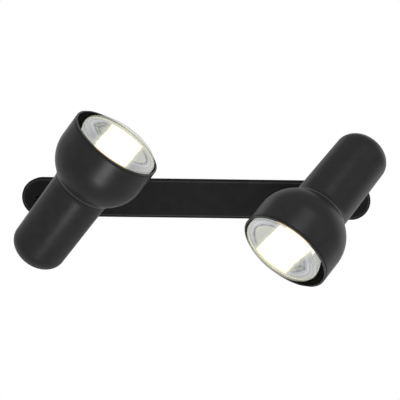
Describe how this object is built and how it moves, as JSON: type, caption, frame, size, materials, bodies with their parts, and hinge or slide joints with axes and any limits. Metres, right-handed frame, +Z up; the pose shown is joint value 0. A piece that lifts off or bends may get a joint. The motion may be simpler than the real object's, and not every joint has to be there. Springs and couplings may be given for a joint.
{
  "type": "pivoting spotlight wall light",
  "caption": "Wall light with a flat round-ended bar that carries bell-shaped spotlight heads with mirrored reflector lamps, each on a hollow swivel and a clamped knuckle.",
  "frame": {"origin": "centre of the wall bar in the plane of the wall, on the back face of the mounting strap", "axes": "+X along the bar to the right as seen from the room, +Y into the wall, +Z up"},
  "size_m": [0.3725, 0.1681, 0.1688],
  "materials": {
    "bar_paint": "satin black powder coat",
    "head_paint": "satin dark grey-black powder coat",
    "zinc": "zinc plated",
    "nickel": "nickel plated",
    "brass": "plain",
    "moulding": "cream heat-proof moulding",
    "glass": "clear, faintly satin",
    "mirror": "silvered, slightly rippled",
    "vitrite": "black glass",
    "sleeve": "heat-proof lead sleeve",
    "tungsten": "coiled wire"
  },
  "bodies": {
    "wall_mount": {"wall_bar": "bar_paint", "mounting_strap": "zinc", "bar_screw_left": "bar_paint", "bar_screw_right": "bar_paint", "terminal_block": "moulding", "clamp_screw_lower_left": "nickel", "clamp_screw_lower_right": "nickel", "clamp_screw_upper_left": "nickel", "clamp_screw_upper_right": "nickel", "block_screw": "zinc", "earth_screw": "brass", "left_feed_lead": "sleeve", "right_feed_lead": "sleeve"},
    "left_pivot": {"left_swivel": "head_paint", "left_swivel_nut": "zinc", "left_spring_washer": "zinc", "left_stop_washer": "zinc", "left_friction_ring": "nickel", "left_knuckle_screw": "zinc", "left_knuckle_nut": "zinc"},
    "right_pivot": {"right_swivel": "head_paint", "right_swivel_nut": "zinc", "right_spring_washer": "zinc", "right_stop_washer": "zinc", "right_friction_ring": "nickel", "right_knuckle_screw": "zinc", "right_knuckle_nut": "zinc"},
    "left_head": {"left_head_arm": "head_paint", "left_arm_nut": "zinc", "left_holder_bracket": "zinc", "left_bracket_screw": "zinc", "left_housing": "head_paint", "left_head_lead": "sleeve", "left_holder_body": "moulding", "left_holder_shell": "brass", "left_holder_contact": "brass", "left_lamp_glass": "glass", "left_lamp_mirror": "mirror", "left_lamp_cap": "nickel", "left_lamp_insulator": "vitrite", "left_lamp_contact": "nickel", "left_lamp_stem": "glass", "left_lamp_filament": "tungsten"},
    "right_head": {"right_head_arm": "head_paint", "right_arm_nut": "zinc", "right_holder_bracket": "zinc", "right_bracket_screw": "zinc", "right_housing": "head_paint", "right_head_lead": "sleeve", "right_holder_body": "moulding", "right_holder_shell": "brass", "right_holder_contact": "brass", "right_lamp_glass": "glass", "right_lamp_mirror": "mirror", "right_lamp_cap": "nickel", "right_lamp_insulator": "vitrite", "right_lamp_contact": "nickel", "right_lamp_stem": "glass", "right_lamp_filament": "tungsten"}
  },
  "joints": [
    {"name": "left_turn", "type": "hinge", "parent": "wall_mount", "child": "left_pivot", "pos_m": [-0.1233, 0, 0], "axis": [0, -1, 0], "range_deg": [-121.3, 194.7]},
    {"name": "left_tilt", "type": "hinge", "parent": "left_pivot", "child": "left_head", "pos_m": [-0.1233, -0.042, 0], "axis": [0.8019, 0, -0.5975], "range_deg": [-28.76, 21.24]},
    {"name": "right_turn", "type": "hinge", "parent": "wall_mount", "child": "right_pivot", "pos_m": [0.1233, 0, 0], "axis": [0, -1, 0], "range_deg": [-116.4, 199.6]},
    {"name": "right_tilt", "type": "hinge", "parent": "right_pivot", "child": "right_head", "pos_m": [0.1233, -0.042, 0], "axis": [-0.7475, 0, 0.6643], "range_deg": [-38.74, 11.26]}
  ]
}
